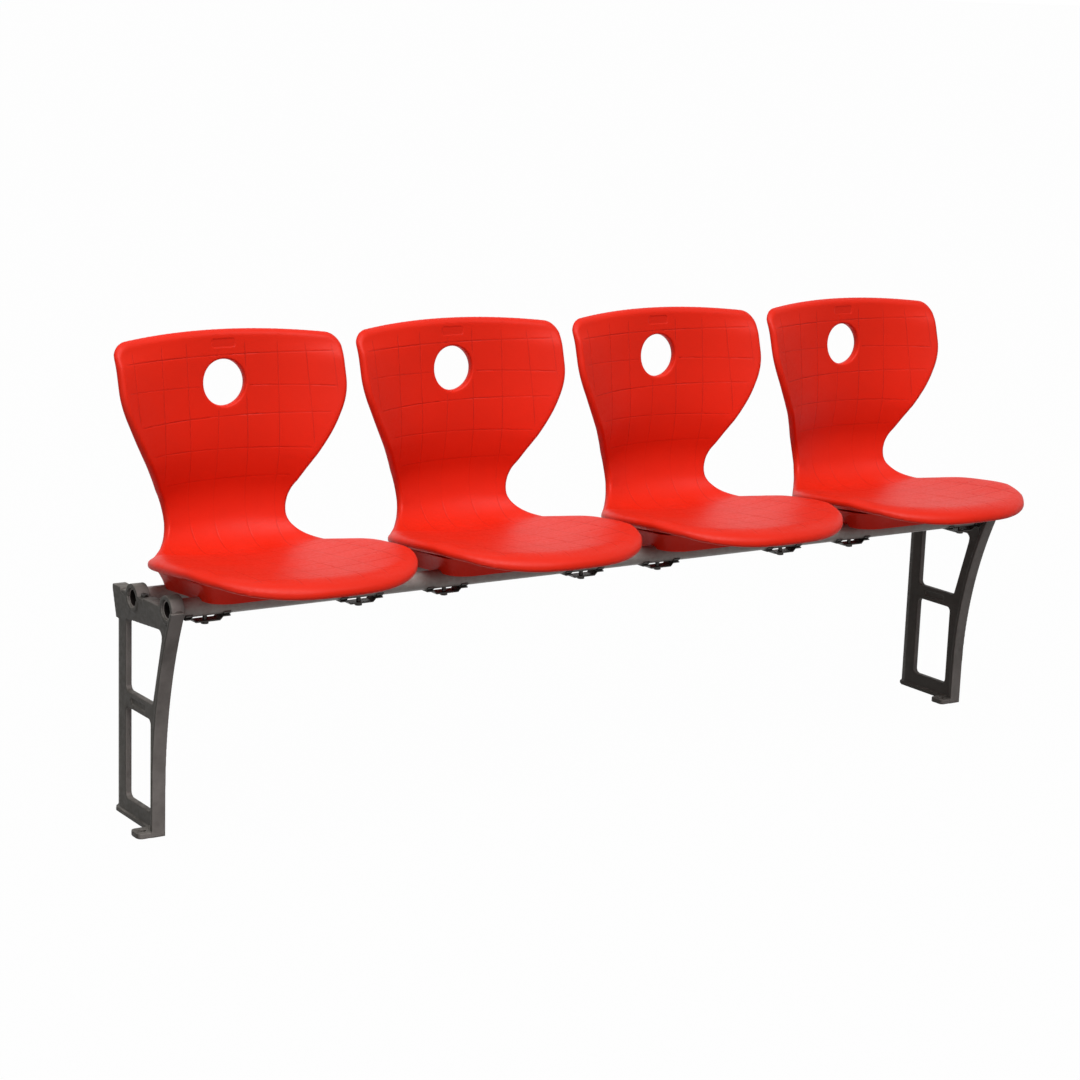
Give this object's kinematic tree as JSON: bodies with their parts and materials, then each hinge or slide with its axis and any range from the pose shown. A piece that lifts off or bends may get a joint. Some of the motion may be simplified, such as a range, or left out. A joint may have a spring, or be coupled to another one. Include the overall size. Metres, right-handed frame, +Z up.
{
  "type": "stadium chair row",
  "caption": "Row of one-piece moulded plastic seats, each with a curved back and hand hole, clamped to two steel tubes on cast metal legs that bolt to the floor.",
  "frame": {"origin": "middle of the whole row's box, on the floor", "axes": "+X along the row, from the left end of the picture to the right; the seats face -Y; +Z up"},
  "size_m": [1.9226, 0.475, 0.8507],
  "materials": {
    "seat_plastic": "satin moulded, faint pressed line pattern",
    "tube_paint": "grey-brown satin powder coat",
    "cast_paint": "dark grey-brown satin paint on a casting",
    "dark_steel": "blackened",
    "insert_brass": "turned"
  },
  "bodies": {
    "root": {"front_tube": "tube_paint", "rear_tube": "tube_paint", "leg_left": "cast_paint", "tube_cap_left": "cast_paint", "cap_screws_left": "dark_steel", "leg_right": "cast_paint", "tube_cap_right": "cast_paint", "cap_screws_right": "dark_steel", "seat_shell_1": "seat_plastic", "strap_1_front_left": "dark_steel", "strap_1_front_right": "dark_steel", "strap_1_rear_left": "dark_steel", "strap_1_rear_right": "dark_steel", "clamp_bolts_1": "dark_steel", "clamp_washers_1": "dark_steel", "seat_inserts_1": "insert_brass", "seat_shell_2": "seat_plastic", "strap_2_front_left": "dark_steel", "strap_2_front_right": "dark_steel", "strap_2_rear_left": "dark_steel", "strap_2_rear_right": "dark_steel", "clamp_bolts_2": "dark_steel", "clamp_washers_2": "dark_steel", "seat_inserts_2": "insert_brass", "seat_shell_3": "seat_plastic", "strap_3_front_left": "dark_steel", "strap_3_front_right": "dark_steel", "strap_3_rear_left": "dark_steel", "strap_3_rear_right": "dark_steel", "clamp_bolts_3": "dark_steel", "clamp_washers_3": "dark_steel", "seat_inserts_3": "insert_brass", "seat_shell_4": "seat_plastic", "strap_4_front_left": "dark_steel", "strap_4_front_right": "dark_steel", "strap_4_rear_left": "dark_steel", "strap_4_rear_right": "dark_steel", "clamp_bolts_4": "dark_steel", "clamp_washers_4": "dark_steel", "seat_inserts_4": "insert_brass"}
  },
  "joints": []
}
